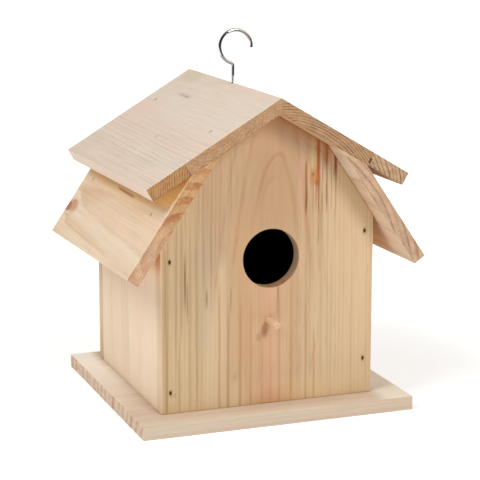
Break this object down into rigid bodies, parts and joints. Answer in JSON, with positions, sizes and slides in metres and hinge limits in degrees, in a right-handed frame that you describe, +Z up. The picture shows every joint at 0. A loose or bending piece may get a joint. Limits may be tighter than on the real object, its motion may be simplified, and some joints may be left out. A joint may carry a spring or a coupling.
{
  "type": "birdhouse",
  "caption": "Plain pine birdhouse with a two-pitch gambrel roof, round entrance, short perch, wide base board and a screw hook in the ridge to hang it by.",
  "frame": {"origin": "on the underside of the base board, below the ridge, half way between the outer faces of the front and back panels", "axes": "+Z up; -Y is the front with the entrance hole; +X is to the right when the front is seen; the ridge runs along Y"},
  "size_m": [0.2652, 0.2305, 0.3214],
  "materials": {
    "pine": "planed and unfinished, matt",
    "dowel_wood": "turned and unfinished, matt",
    "plated_steel": "bright zinc plate, polished",
    "nail_steel": "dull steel, sunk in the wood"
  },
  "bodies": {
    "house": {"base_board": "pine", "front_panel": "pine", "back_panel": "pine", "left_side_front_stave": "pine", "left_side_back_stave": "pine", "right_side_front_stave": "pine", "right_side_back_stave": "pine", "upper_left_ridge_stave": "pine", "upper_left_eave_stave": "pine", "upper_right_ridge_stave": "pine", "upper_right_eave_stave": "pine", "lower_left_roof_board": "pine", "lower_right_roof_board": "pine", "perch_dowel": "dowel_wood", "base_nails": "nail_steel", "front_panel_nails": "nail_steel", "back_panel_nails": "nail_steel", "upper_left_roof_nails": "nail_steel", "upper_right_roof_nails": "nail_steel", "lower_left_roof_nails": "nail_steel", "lower_right_roof_nails": "nail_steel"},
    "hook": {"screw_hook": "plated_steel"}
  },
  "joints": [
    {"name": "hook_turn", "type": "hinge", "parent": "house", "child": "hook", "pos_m": [0, -0.0062, 0.274], "axis": [0, 0, 1], "range_deg": [-90, 90]}
  ]
}
